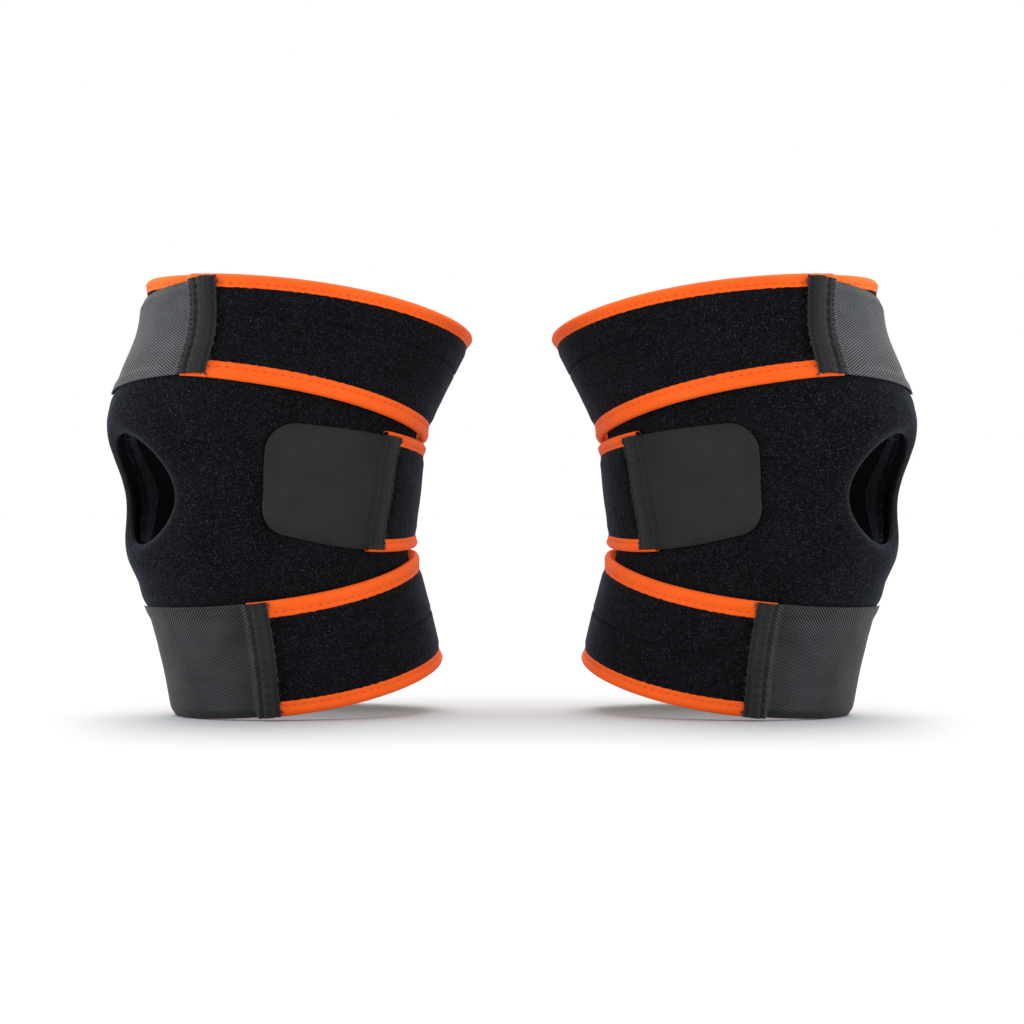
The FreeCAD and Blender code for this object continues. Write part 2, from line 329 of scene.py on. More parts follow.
def plush(name, dark, light, speck, sheen):
    """Brushed loop cloth: a dense curly nap with a few pale fibre ends."""
    made, tree, shader = material(name, 0.95, sheen, 0.3, 0.06)
    shader.inputs["Sheen Tint"].default_value = (0.62, 0.72, 1.0, 1)
    where = on_object(tree)
    loops = noise(tree, where, 1500, 3, 0.65)
    clumps = noise(tree, where, 420, 2, 0.5)
    patches = noise(tree, where, 45, 3, 0.55)
    cells = node(tree, "ShaderNodeTexVoronoi", Scale=900.0)
    tree.links.new(where, cells.inputs["Vector"])
    mixed_nap = times(tree, loops, clumps)
    nap = ramp(tree, mixed_nap, [(0.16, dark), (0.42, light)])
    shade = ramp(tree, patches, [(0.3, tuple(v * 0.75 for v in dark)), (0.7, light)])
    body = mixed(tree, 0.3, nap, shade)
    ends = noise(tree, where, 1250, 2, 0.5)
    bright = maths(tree, "MULTIPLY", maths(tree, "SUBTRACT", ends, 0.56, True), 3.6, True)
    paint(tree, shader, mixed(tree, bright, body, speck))
    bumped(tree, shader, [(patches, 0.35, 0.0012), (clumps, 0.6, 0.0007),
                                  (cells.outputs["Distance"], 0.45, 0.0004), (loops, 0.6, 0.0004)])
    return made


def woven(name, dark, light, rough, angle, pitch, contrast, sheen=0.05, relief=0.5, cross=0.25,
          specular=0.1, tones=(0.45, 1.0)):
    """Cloth with ribs at an angle to its length, mapped by distance along the cloth."""
    made, tree, shader = material(name, rough, sheen, 0.4, specular)
    where = tree.nodes.new("ShaderNodeUVMap")
    where.uv_map = "cloth"
    turned = node(tree, "ShaderNodeMapping")
    turned.inputs["Rotation"].default_value = (0, 0, math.radians(angle))
    tree.links.new(where.outputs[0], turned.inputs["Vector"])
    wobble = noise(tree, turned.outputs[0], 260, 2, 0.5)
    split = tree.nodes.new("ShaderNodeSeparateXYZ")
    tree.links.new(turned.outputs[0], split.inputs[0])
    ribs = plus(tree, times(tree, split.outputs[0], math.tau / (pitch * MM)), times(tree, wobble, 1.6))
    picks = times(tree, split.outputs[1], math.tau / (pitch * 0.8 * MM))
    rib = maths(tree, "MULTIPLY_ADD", maths(tree, "SINE", ribs), 0.5)
    rib.node.inputs[2].default_value = 0.5
    pick = maths(tree, "MULTIPLY_ADD", maths(tree, "SINE", picks), 0.5 * cross)
    pick.node.inputs[2].default_value = 0.5 * cross
    weave = plus(tree, rib, pick)
    grain = noise(tree, where.outputs[0], 2200, 2, 0.6)
    wear = noise(tree, where.outputs[0], 60, 3, 0.6)
    shade = plus(tree, times(tree, weave, 0.55 * contrast), times(tree, grain, 0.5))
    shade = plus(tree, shade, times(tree, wear, 0.45))
    paint(tree, shader, ramp(tree, shade, [(tones[0], dark), (tones[1], light)]))
    bumped(tree, shader, [(wear, 0.2, 0.0008), (weave, relief, 0.00025), (grain, 0.3, 0.00015)])
    return made


def thread(name, colour):
    made, tree, shader = material(name, 0.6, 0.1, 0.4, 0.4)
    where = on_object(tree)
    ply = noise(tree, where, 2600, 2, 0.5)
    paint(tree, shader, ramp(tree, ply, [(0.35, tuple(v * 0.6 for v in colour)), (0.65, colour)]))
    bumped(tree, shader, [(ply, 0.5, 0.0002)])
    return made


PLUSH = plush("plush_cloth", (0.0008, 0.0008, 0.0010), (0.0074, 0.0076, 0.0092),
              (0.046, 0.048, 0.058), 0.13)
LINING = woven("lining_jersey", (0.0015, 0.0015, 0.0022), (0.007, 0.007, 0.009), 0.9, 0, 0.9, 0.3, 0.02)
TAPE = woven("orange_tape", (0.90, 0.098, 0.006), (1.0, 0.165, 0.014), 0.6, 90, 0.55, 0.25, 0.03,
             0.35, 0.6, 0.12)
DARK_TAPE = woven("black_tape", (0.003, 0.003, 0.004), (0.012, 0.012, 0.015), 0.7, 90, 0.55, 0.3, 0.03,
                  0.35, 0.6)
# The upper and lower tabs are one grey twill. The upper tab's copy is painted lighter and the lower tab's
# copy darker, as painted light and shade.
TWILL_RISING_PAINTED_DARKER = woven("twill_rising_painted_darker", (0.003, 0.003, 0.003), (0.051, 0.051, 0.052), 0.5, 50, 1.2, 1.0, 0.02,
                     1.0, 0.1, 0.10, (0.66, 1.02))
TWILL_FALLING_PAINTED_LIGHTER = woven("twill_falling_painted_lighter", (0.004, 0.004, 0.004), (0.090, 0.090, 0.091), 0.5, -66, 1.1, 1.0, 0.02,
                      1.0, 0.1, 0.16, (0.62, 1.04))
PLAIN = woven("plain_tab", (0.009, 0.0092, 0.0092), (0.024, 0.0243, 0.0243), 0.6, 90, 0.9, 0.5, 0.02,
              0.5, 0.8, 0.14)
POCKET = woven("pocket_cloth", (0.005, 0.005, 0.006), (0.02, 0.02, 0.023), 0.8, 45, 0.8, 0.4)
ORANGE_THREAD = thread("orange_thread", (0.80, 0.075, 0.006))
BLACK_THREAD = thread("black_thread", (0.008, 0.008, 0.009))


def hook_plastic():
    """Moulded hooks: rows of small upright points."""
    made, tree, shader = material("hook_cloth", 0.45, 0.0, 0.5, 0.5)
    where = on_object(tree)
    cells = node(tree, "ShaderNodeTexVoronoi", Scale=900.0, Randomness=0.35)
    tree.links.new(where, cells.inputs["Vector"])
    tone = noise(tree, where, 300, 2, 0.5)
    shade = plus(tree, cells.outputs["Distance"], times(tree, tone, 0.4))
    paint(tree, shader, ramp(tree, shade, [(0.2, (0.022, 0.022, 0.024)), (0.8, (0.006, 0.006, 0.007))]))
    bumped(tree, shader, [(cells.outputs["Distance"], 0.9, 0.0008), (tone, 0.3, 0.0003)])
    return made


def spring_steel():
    made, tree, shader = material("spring_steel", 0.32, 0.0, 0.5, 0.5)
    shader.inputs["Metallic"].default_value = 1.0
    where = on_object(tree)
    brushed = noise(tree, where, 900, 4, 0.6)
    paint(tree, shader, ramp(tree, brushed, [(0.3, (0.42, 0.42, 0.44)), (0.7, (0.66, 0.66, 0.68))]))
    bumped(tree, shader, [(brushed, 0.2, 0.0001)])
    return made


HOOKS = hook_plastic()
STEEL = spring_steel()

# ---- stitches

# Places along a stitch and the share of its width there.
CAPSULE_RINGS = ((-0.5, 0.35), (-0.3, 0.9), (0.0, 1.0), (0.3, 0.9), (0.5, 0.35))
STITCH_SIDES = 6


def stitches(name, side, centres, ways, ups, length, width, material_used):
    """One mesh of short threads, each lying at a centre along a way with an up direction."""
    centres, ways, ups = (np.asarray(v, float).reshape(-1, 3) for v in (centres, ways, ups))
    ways = ways / norm(ways, axis=1, keepdims=True)
    across = np.cross(ways, ups)
    across /= norm(across, axis=1, keepdims=True)
    ups = np.cross(across, ways)
    sides = STITCH_SIDES
    rings = []
    for along, wide in CAPSULE_RINGS:
        for k in range(sides):
            angle = math.tau * k / sides
            sag = -0.35 * width * (2 * along) ** 2
            rings.append(centres + ways * (along * length)
                         + across * (0.5 * width * wide * math.cos(angle))
                         + ups * (0.5 * width * wide * math.sin(angle) + sag))
    points = np.stack(rings, 1)
    per = points.shape[1]
    faces = [(r + k, r + (k + 1) % sides, r + sides + (k + 1) % sides, r + sides + k)
             for r in range(0, (len(CAPSULE_RINGS) - 1) * sides, sides) for k in range(sides)]
    base = np.arange(len(centres)) * per
    every = (np.asarray(faces)[None] + base[:, None, None]).reshape(-1, 4).tolist()
    first, last = np.arange(sides)[::-1], np.arange(sides) + (len(CAPSULE_RINGS) - 1) * sides
    every += (first[None] + base[:, None]).tolist() + (last[None] + base[:, None]).tolist()
    flat = points.reshape(-1, 3)
    return build(name, side, flat, every, flat[:, :2], [material_used])


def row_of_stitches(n, u, off):
    """Centres, ways and up directions along a line of (n, u, off) samples."""
    p = skin(n, u, off)
    return p, np.gradient(p, axis=0), skin(n, u, off + 1.0) - p


# ---- bound edges

STITCH_PITCH, STITCH_LENGTH, STITCH_WIDTH = 5.0, 2.7, 0.6
# Share of the tape's width at which its stitches run.
STITCH_PLACE = 0.70
TAPE_WALL = 0.5
TAPE_STEP = 1.6


def bound_edge(name, side, at, s, width, outer, inner, seed, stitch_inside=False, bare=0.0, cloth=None):
    """Tape folded over an edge, with no stitches on its first bare stretch.

    at(w, off) gives the points at distance w in from the edge and off out from the sleeve's face."""
    ragged = 0.20 * jitter(s, 4.2, seed) + 0.10 * jitter(s, 11.0, seed + 1)
    radius = 0.5 * (outer - inner)
    flat = np.linspace(1.0, 0.0, 10) ** 0.9
    arc = np.linspace(0.5 * math.pi, -0.5 * math.pi, 9)[1:-1]
    reach = (width + ragged)[:, None]
    s2 = s[:, None]
    sets = []
    for level_out, sign in ((outer, 1), (inner, -1)):
        w = radius + (reach - radius) * flat[None]
        share = w / width
        puff = 0.75 * hump(share - 0.36, 0.24) * smooth((s2 - bare + 1.0) / 3.0)
        pulled = 0.24 + 0.24 * np.cos(math.tau * s2 / STITCH_PITCH)
        dimple = smooth((s2 - bare) / 3.0) * pulled * hump(w - STITCH_PLACE * width, 1.05)
        lip = 0.25 * smooth((share - 0.86) / 0.14)
        sets.append((w, level_out + sign * (puff - dimple - lip)))
    bend_w = radius - (radius + 0.1) * np.cos(arc)[None] + 0.0 * s2
    middle = 0.5 * (outer + inner)
    bend_o = middle + (radius + 0.35) * np.sin(arc)[None] + 0.0 * s2
    w = np.concatenate([sets[0][0], bend_w, sets[1][0][:, ::-1]], 1)
    off = np.concatenate([sets[0][1], bend_o, sets[1][1][:, ::-1]], 1)
    # The inner skin of the tape is one wall nearer the cloth.
    toward_w = np.where(w < radius, (radius - w) / max(radius, 0.1), 0.0)
    toward_o = np.clip((off - middle) / max(radius, 0.1), -1, 1)
    front = at(w, off)
    back = at(w + TAPE_WALL * toward_w, off - TAPE_WALL * toward_o)
    steps = np.hypot(np.diff(w, axis=1), np.diff(off, axis=1))
    across = np.cumsum(np.concatenate([np.zeros((len(s), 1)), steps], 1), 1)
    uv = np.stack([np.repeat(s2, w.shape[1], 1), across], -1)
    tape = ribbon(name, side, front, back, uv, [cloth or TAPE])
    places = np.arange(bare + 0.6 * STITCH_PITCH, s[-1] - 1.5, STITCH_PITCH)
    made = [tape]
    faces = [(outer, 1)] + ([(inner, -1)] if stitch_inside else [])
    for number, (face, sign) in enumerate(faces):
        fine = np.full((len(s), 1), STITCH_PLACE * width)
        centre = at(fine, np.full_like(fine, face + sign * 0.05))[:, 0]
        above = at(fine, np.full_like(fine, face + sign * 1.05))[:, 0]
        spots = np.stack([np.interp(places, s, centre[:, k]) for k in range(3)], 1)
        ups = np.stack([np.interp(places, s, (above - centre)[:, k]) for k in range(3)], 1)
        slope = np.gradient(centre, s, axis=0)
        ways = np.stack([np.interp(places, s, slope[:, k]) for k in range(3)], 1)
        suffix = "_stitches" if number == 0 else "_stitches_inside"
        made.append(stitches(name + suffix, side, spots, ways, ups, STITCH_LENGTH, STITCH_WIDTH,
                             BLACK_THREAD if cloth else ORANGE_THREAD))
    return made


def edge_tape(name, side, edge, high, start, end, width, outer, inner, seed, stitch_inside=False, bare=0.0,
              lift=0.0):
    """Tape along a trim line between two angles; high says that the cloth lies below the line."""
    middle = 0.5 * (outer + inner)
    u, s = spaced(edge, 0.0, middle, start, end, TAPE_STEP)
    sign = -1.0 if high else 1.0

    def at(w, off):
        angle = np.repeat(u[:, None], w.shape[1], 1)
        return skin(level(edge, sign * w + lift, angle, off), angle, off)
    return bound_edge(name, side, at, s, width, outer, inner, seed, stitch_inside, bare)


# ---- the sleeve

SLEEVE_WALL = 4.0
INNER_WING, OUTER_WING = -8.4, 326.0
OPENING_Z, OPENING_HALF_Y, OPENING_HALF_Z = 128.0, 30.5, 31.0
BINDING = 7.0
WING_BINDING, WING_GAP, WING_MIDDLE = 6.4, 0.4, -2.0
HEM_LIFT = 1.1
# How far the sleeve stands out under the upper tab and over the lower one.
FULL_ABOVE, FULL_BELOW = 5.2, 4.2
# The opening's cut in the sleeve's grid: angles and section numbers.
CUT_ANGLES, CUT_SECTIONS = (139, 221), (3.35, 6.95)
SLEEVE_AROUND, SLEEVE_UP, SLEEVE_RINGS = 216, 92, 22
RELIEF_WAVE, RELIEF_SEED = 44, 11
SLEEVE_PER_DEGREE = 1.35
# Search for the opening's oval: its steps, gain, half width and start.
OVAL_STEPS, OVAL_GAIN, OVAL_RADIUS, OVAL_START = 40, 0.7, 64.0, 5.1


def from_opening(p):
    """Distance from the opening's rim, about, in the plane of the front."""
    far = np.hypot(p[..., 1] / OPENING_HALF_Y, (p[..., 2] - OPENING_Z) / OPENING_HALF_Z)
    return np.where(p[..., 0] < 0, (far - 1) * OPENING_HALF_Y, 200.0)


def on_oval(angle, off, grow=1.0):
    """Section number and angle round the leg of points on the opening's rim, or on a larger oval."""
    y, z = grow * OPENING_HALF_Y * np.cos(angle), OPENING_Z + grow * OPENING_HALF_Z * np.sin(angle)
    n, u = np.full(angle.shape, OVAL_START), np.full(angle.shape, 180.0)
    for _ in range(OVAL_STEPS):
        p = skin(n, u, off)
        n = n + OVAL_GAIN * (z - p[..., 2]) / STEP
        u = u - OVAL_GAIN * np.degrees((y - p[..., 1]) / OVAL_RADIUS)
    return n, u


def sleeve_relief(p):
    """Padded ring round the opening, fullness between the two tabs and a soft unevenness."""
    d = from_opening(p)
    ring = 2.2 * hump(d - 9.0, 9.0) - 0.35 * hump(d - 24.0, 3.0)
    front = smooth((-p[..., 0] - 26.0) / 50.0)
    upper, lower = STRAPS["upper"], STRAPS["lower"]
    under = height(upper["low"], p[..., 0]) + upper["tab_low"] - upper["slope"] * p[..., 1] - p[..., 2]
    above = p[..., 2] - height(lower["high"], p[..., 0])
    full = FULL_ABOVE * smooth((under + 10.0) / 16.0) * np.exp(-np.maximum(under, 0) / 26.0)
    full = full + FULL_BELOW * smooth((above + 9.0) / 15.0) * np.exp(-np.maximum(above, 0) / 24.0)
    open_part = smooth((np.minimum(under, above) + 6.0) / 14.0)
    return ring * open_part + front * full + (0.3 * ripple(p, 55, 3) + 0.12 * ripple(p, 17, 4))


def sleeve(side):
    """The sleeve: a grid from rim to rim, with rings of faces that lead to the opening's oval."""
    u = np.linspace(INNER_WING + 0.6, OUTER_WING - 0.6, SLEEVE_AROUND)
    v = np.linspace(0, 1, SLEEVE_UP)
    low, high = rim_to_rim(1.0, u, 0.0)
    n = low[:, None] + (high - low)[:, None] * v[None]
    uu = np.repeat(u[:, None], len(v), 1)
    ia, ib = (int(np.argmin(abs(u - cut))) for cut in CUT_ANGLES)
    mid = int(np.argmin(abs(u - 180)))
    ja, jb = (int(np.argmin(abs(n[mid] - cut))) for cut in CUT_SECTIONS)
    rows, columns = n.shape
    quads = [q for q in grid_quads(rows, columns).tolist()
             if not (ia <= q[0] // columns < ib and ja <= q[0] % columns < jb)]
    outline = ([(i, ja) for i in range(ia, ib)] + [(ib, j) for j in range(ja, jb)]
               + [(i, jb) for i in range(ib, ia, -1)] + [(ia, j) for j in range(jb, ja, -1)])
    on = np.array([n[i, j] for i, j in outline])
    ou = np.array([uu[i, j] for i, j in outline])
    p = skin(on, ou, 0.0)
    angle = np.arctan2((p[:, 2] - OPENING_Z) / OPENING_HALF_Z, p[:, 1] / OPENING_HALF_Y)
    rim_n, rim_u = on_oval(angle, 0.0)
    rings = SLEEVE_RINGS
    count = len(outline)
    shares = (np.arange(rings) / rings) ** 1.5
    ring_n = rim_n[None] + (on - rim_n)[None] * shares[:, None]
    ring_u = rim_u[None] + (ou - rim_u)[None] * shares[:, None]
    start = rows * columns
    for r in range(rings):
        for k in range(count):
            after = (k + 1) % count
            a, b = start + r * count + k, start + r * count + after
            if r < rings - 1:
                c, d = start + (r + 1) * count + after, start + (r + 1) * count + k
            else:
                c, d = (outline[after][0] * columns + outline[after][1],
                        outline[k][0] * columns + outline[k][1])
            quads.append([a, b, c, d])
    all_n = np.concatenate([n.ravel(), ring_n.ravel()])
    all_u = np.concatenate([uu.ravel(), ring_u.ravel()])
    used = sorted({i for q in quads for i in q})
    remap = {old: new for new, old in enumerate(used)}
    quads = np.array([[remap[i] for i in q] for q in quads])
    all_n, all_u = all_n[used], all_u[used]
    base = skin(all_n, all_u, 0.0)
    d = from_opening(base)
    near_edge = np.minimum(smooth((d + 0.01) / 2.6) ** 0.5, 1.0)
    half = 0.5 * SLEEVE_WALL * (0.35 + 0.65 * near_edge)
    roll = -1.6 * (1 - smooth(d / 5.0))
    # Under the tape at the rims the cloth lies flat.
    z_low = base[:, 2] - height("bottom_rim", base[:, 0])
    z_high = height("top_rim", base[:, 0]) - base[:, 2]
    flat = smooth((np.minimum(z_low, z_high) - BINDING * 0.6) / 8.0)
    middle = -0.5 * SLEEVE_WALL + sleeve_relief(base) * flat + roll
    front, back = skin(all_n, all_u, middle + half), skin(all_n, all_u, middle - half)
    uv = np.stack([all_u * SLEEVE_PER_DEGREE, all_n * STEP], -1)
    return sheet_mesh(f"{side}_sleeve", side, front, back, quads, uv, [PLUSH, LINING])


def wing_tape(name, side, end, inward, seed):
    """Tape on one of the sleeve's two long edges."""
    low, high = rim_to_rim(BINDING + WING_GAP, end, WING_MIDDLE)
    n = np.linspace(float(low), float(high), 110)
    s = (n - n[0]) * STEP
    stretch = norm(skin(n, end + 0.5, WING_MIDDLE) - skin(n, end - 0.5, WING_MIDDLE), axis=-1)

    def at(w, off):
        rows = np.repeat(n[:, None], w.shape[1], 1)
        return skin(rows, end + inward * w / stretch[:, None], off)
    return bound_edge(name, side, at, s, WING_BINDING, 0.4, -4.4, seed, True, 0.0, DARK_TAPE)


# ---- straps and tabs

# Angles in degrees: end of the strap, sewn edge and tip of its tab, each at section number level, and how
# they twist per section. Heights in millimetres.
STRAPS = {
    "upper": dict(low="upper_low", high="top_rim", level=8, end=209, sewn=220, tip=154, twist=-3.5,
                  tab_low=-6, tab_high=8.5, slope=0.17, tape_low=9.6, tape_high=7.4, crease=0.64,
                  root="thigh", corner=3.0, cloth=TWILL_FALLING_PAINTED_LIGHTER, flat=(0.236, 0.068), tab_flat=(0.078, 0.06)),
    "middle": dict(low="middle_low", high="middle_high", level=5, end=291.5, sewn=299, tip=246, twist=3.1,
                   tab_low=1, tab_high=2.5, slope=0, tape_low=7, tape_high=7, crease=None,
                   root="knee", corner=13.0, cloth=PLAIN, flat=(0.09, 0.062), tab_flat=(0.07, 0.068)),
    "lower": dict(low="bottom_rim", high="lower_high", level=2, end=230, sewn=238.5, tip=160, twist=1.6,
                  tab_low=0.35, tab_high=0.2, slope=0, tape_low=8.4, tape_high=9.4, crease=0.48,
                  root="calf", corner=3.0, cloth=TWILL_RISING_PAINTED_DARKER, flat=(0.165, 0.068), tab_flat=(0.095, 0.064))}
STRAP_ROOT = 359.5
STRAP_IN, STRAP_OUT, STRAP_MIDDLE = 1.6, 4.6, 3.0
TAB_OVERLAP = 11.0
STRAP_ACROSS, STRAP_ALONG = 84, 150
# Steps of the searches for the grids of the straps, the tabs and the patches.
STRAP_STEPS, TAB_STEPS, PATCH_STEPS = 7, 8, 7


def end_angle(plan, place, n):
    """Angle of a strap's end, of its tab's sewn edge or of its tip at section number n."""
    return plan[place] + plan["twist"] * (n - plan["level"])


def strap_grid(plan, across, count):
    """Section numbers and angles of a strap's cloth from its end to its root."""
    v = np.linspace(0, 1, across)
    t = np.linspace(0, 1, count)[:, None]
    n = np.full((count, across), float(plan["level"]))
    u = np.full((count, across), 300.0)
    for _ in range(STRAP_STEPS):
        u = end_angle(plan, "end", n) * (1 - t) + STRAP_ROOT * t
        low = level(plan["low"], 1.0, u, STRAP_MIDDLE)
        high = level(plan["high"], -1.0, u, STRAP_MIDDLE)
        n = low + (high - low) * v[None]
    return n, u


def strap(side, name, plan):
    """A strap's padded cloth, with its crease."""
    n, u = strap_grid(plan, STRAP_ACROSS, STRAP_ALONG)
    base = skin(n, u, STRAP_MIDDLE)
    d_low = base[..., 2] - height(plan["low"], base[..., 0])
    d_high = height(plan["high"], base[..., 0]) - base[..., 2]
    clear = np.minimum(smooth((d_low - plan["tape_low"] + 1.5) / 7.0),
                       smooth((d_high - plan["tape_high"] + 1.5) / 7.0))
    open_cloth = smooth((u - end_angle(plan, "sewn", n)) / 5.0)
    puff = 1.1 * clear * open_cloth + (0.28 * ripple(base, 38, 7) + 0.1 * ripple(base, 13, 8)) * clear
    if plan["crease"]:
        share = d_low / (d_low + d_high)
        puff = puff - 1.15 * hump((share - plan["crease"]) * (d_low + d_high), 0.9) * open_cloth
    front = skin(n, u, STRAP_OUT - 0.1 + puff)
    back = skin(n, u, STRAP_IN + 0.0 * n)
    run = np.cumsum(np.concatenate([np.zeros((1, n.shape[1])),
                                    norm(np.diff(base, axis=0), axis=-1)], 0), 0)
    uv = np.stack([run, n * STEP], -1)
    return ribbon(f"{side}_{name}_strap", side, front, back, uv, [PLUSH, LINING])


def tab_limits(plan, u, off, inset=0.0):
    """Section numbers of a tab's two long edges, or of lines inset from them."""
    return (level(plan["low"], plan["tab_low"] + inset, u, off, plan["slope"]),
            level(plan["high"], -plan["tab_high"] - inset, u, off, plan["slope"]))


def tab_grid(plan, across, count):
    """Section numbers, angles and edge distances of a tab from its tip to its sewn edge."""
    v = np.linspace(0, 1, across)
    t = (1 - np.cos(np.linspace(0, 0.5 * math.pi, 16))) * 0.16
    t = np.concatenate([t, np.linspace(0.16, 1, count - 15)[1:]])[:, None]
    n = np.full((len(t), across), float(plan["level"]))
    for _ in range(TAB_STEPS):
        u = end_angle(plan, "tip", n) * (1 - t) + end_angle(plan, "sewn", n) * t
        low, high = tab_limits(plan, u, 3.5)
        tip_u = end_angle(plan, "tip", n)
        gap = skin(n, u, STRAP_MIDDLE) - skin(n, tip_u, STRAP_MIDDLE)
        from_tip = norm(gap[..., :2], axis=-1)
        r = plan["corner"]
        cut_in = r - np.sqrt(np.clip(r * r - np.clip(r - from_tip, 0, r) ** 2, 0, None))
        shrink = cut_in.mean(1, keepdims=True) / STEP
        n = (low + shrink) + (high - low - 2 * shrink) * v[None]
    return n, u, v, from_tip


# A tab's inner face off the sleeve, its thickness and its step up over the strap's end.
TAB_IN, TAB_WALL, TAB_RISE = 2.05, 1.4, 3.75
TAB_ACROSS, TAB_ALONG = 112, 160
MM_PER_DEGREE = 1.3
PUCKER_PITCH, TAB_STITCH_PITCH, TAB_STITCH_LENGTH, TAB_STITCH_WIDTH = 4.6, 2.5, 1.9, 0.55
# How far the cloth between a tab's stitch rows is puffed up.
TAB_FOLD = {"upper": 1.9, "middle": 0.6, "lower": 0.7}


def tab_rows(name):
    """Distances of a tab's stitch rows past the strap's end, and of its last row from the sewn edge."""
    return {"upper": ((1.0, 4.6), 2.0), "middle": ((1.7,), 2.2), "lower": ((1.7,), 2.2)}[name]


def tab(side, name, plan):
    """Tab stepped up over the strap's end, its two rows of stitches and its frayed edge."""
    n, u, v, from_tip = tab_grid(plan, TAB_ACROSS, TAB_ALONG)
    tall = (n[:, -1:] - n[:, :1]) * STEP
    along = v[None] * tall
    d_side = np.minimum(along, tall - along)
    seam, sewn = end_angle(plan, "end", n), end_angle(plan, "sewn", n)
    per_degree = norm(skin(n, seam + 0.5, 4.0) - skin(n, seam - 0.5, 4.0), axis=-1)
    past = (u - seam) * per_degree
    fray = 0.35 * jitter(along, 5.0, 90) + 0.25 * jitter(along, 2.2, 91)
    u = u + fray * smooth(past / 8.0) / per_degree
    to_edge = (sewn - u) * per_degree
    rise = smooth((past + 3.4) / 3.6)
    seam_rows, edge_row = tab_rows(name)
    pucker = np.zeros_like(n)
    gathers = np.cos(math.tau * along / PUCKER_PITCH + 0.8 * jitter(along, 20.0, 92))
    scallop = 0.3 * np.cos(math.tau * along / TAB_STITCH_PITCH)
    for away, depth in [(past - row + scallop, 1.0) for row in seam_rows] + [(to_edge - edge_row, 0.7)]:
        pucker -= depth * hump(away, 1.0) * (0.8 + 0.2 * gathers)
        pucker += 0.20 * hump(away - 2.0, 1.5) * gathers + 0.16 * hump(away + 1.8, 1.2) * gathers
    between = TAB_FOLD[name] * smooth((past - seam_rows[-1]) / 2.6) * smooth((to_edge - edge_row) / 2.6)
    face = skin(n, u, 0.0)
    soft = (0.24 * ripple(face, RELIEF_WAVE, RELIEF_SEED) + 0.08 * ripple(face, 15, 12)) * (1 - rise)
    d_edge = np.minimum(np.minimum(d_side, from_tip), np.maximum(to_edge, 0))
    round_edge = np.sqrt(np.clip(1 - (1 - np.clip(d_edge / 0.9, 0, 1)) ** 2, 0, 1))
    half = 0.5 * TAB_WALL * (0.3 + 0.7 * round_edge)
    pressed = 1.5 * (1 - smooth(np.minimum(d_side, from_tip) / 5.0)) * (1 - rise)
    under = sleeve_relief(face) * (1 - rise)
    middle = TAB_IN + 0.5 * TAB_WALL + TAB_RISE * rise + pucker + between + soft - pressed + under
    front, back = skin(n, u, middle + half), skin(n, u, middle - half)
    uv = np.stack([u * MM_PER_DEGREE, n * STEP], -1)
    flap = ribbon(f"{side}_{name}_tab", side, front, back, uv, [plan["cloth"], PLAIN])
    sewn_on = (past.mean(1)[:-1] > seam_rows[0]).repeat(n.shape[1] - 1)
    slots = np.zeros(len(flap.data.polygons), np.int32)
    flap.data.polygons.foreach_get("material_index", slots)
    slots[:len(sewn_on)] = sewn_on
    flap.data.polygons.foreach_set("material_index", slots)
    low, high = tab_limits(plan, plan["end"], 5.0)
    count = int((high - low) * STEP * 0.94 / TAB_STITCH_PITCH)
    row_n = low + (high - low) * np.linspace(0.035, 0.965, count)
    degree = float(per_degree.mean())
    top = TAB_IN + TAB_WALL + TAB_RISE
    angles = [end_angle(plan, "end", row_n) + row / degree for row in seam_rows]
    angles.append(end_angle(plan, "sewn", row_n) - edge_row / degree)
    lines = [row_of_stitches(row_n, angle, top - 0.5 + 0 * row_n) for angle in angles]
    centres, ways, ups = (np.concatenate([line[k] for line in lines]) for k in range(3))
    sewn_rows = stitches(f"{side}_{name}_tab_stitches", side, centres, ways, ups, TAB_STITCH_LENGTH,
                         TAB_STITCH_WIDTH, BLACK_THREAD)
    return flap, sewn_rows, loose_threads(side, name, plan, low, high, degree, top)


def loose_threads(side, name, plan, low, high, degree, top):
    """Short cut ends of thread that stick out of a tab's sewn edge, most of them at its corners."""
    rng = np.random.default_rng(len(name) + 300)
    share = np.concatenate([rng.uniform(0.0, 0.05, 6), rng.uniform(0.1, 0.9, 9), rng.uniform(0.95, 1.0, 6)])
    n = low + (high - low) * share
    u = end_angle(plan, "sewn", n) + 0.1 / degree
    p, ups = skin(n, u, top - 0.6), skin(n, u, top + 0.4) - skin(n, u, top - 0.6)
    out = skin(n, u + 1.0, top - 0.6) - p
    out /= norm(out, axis=1, keepdims=True)
    rise = rng.uniform(-1.2, 1.2, len(n))[:, None] * np.array((0, 0, 1.0))
    return stitches(f"{side}_{name}_tab_loose_threads", side, p + 0.6 * out, out + rise, ups, 2.2, 0.28,
                    BLACK_THREAD)


PATCH_INSET, HOOK_PITCH, PATCH_FRONT, PATCH_BACK = 4.0, 2.4, 1.95, 1.15


def hook_patch(side, name, plan):
    """Patch of hooks under a tab, inset from its edges, with its rows of hooks as fine ridges."""
    inset = PATCH_INSET
    v = np.linspace(0, 1, 60)
    t = np.linspace(0, 1, 110)[:, None]
    n = np.full((len(t), len(v)), float(plan["level"]))
    for _ in range(PATCH_STEPS):
        u = end_angle(plan, "tip", n) + inset + (plan["end"] - plan["tip"] - 2 * inset) * t
        low, high = tab_limits(plan, u, 2.0, inset)
        n = low + (high - low) * v[None]
    ridge = 0.14 * np.sin(n * STEP * 2 * math.pi / HOOK_PITCH)
    face = skin(n, u, 0.0)
    soft = 0.24 * ripple(face, RELIEF_WAVE, RELIEF_SEED) + sleeve_relief(face)
    front, back = skin(n, u, PATCH_FRONT + soft), skin(n, u, PATCH_BACK + ridge + soft)
    return ribbon(f"{side}_{name}_hook_patch_cloth", side, front, back, np.stack([u * 1.4, n * STEP], -1),
                  [HOOKS])


# ---- inside pieces

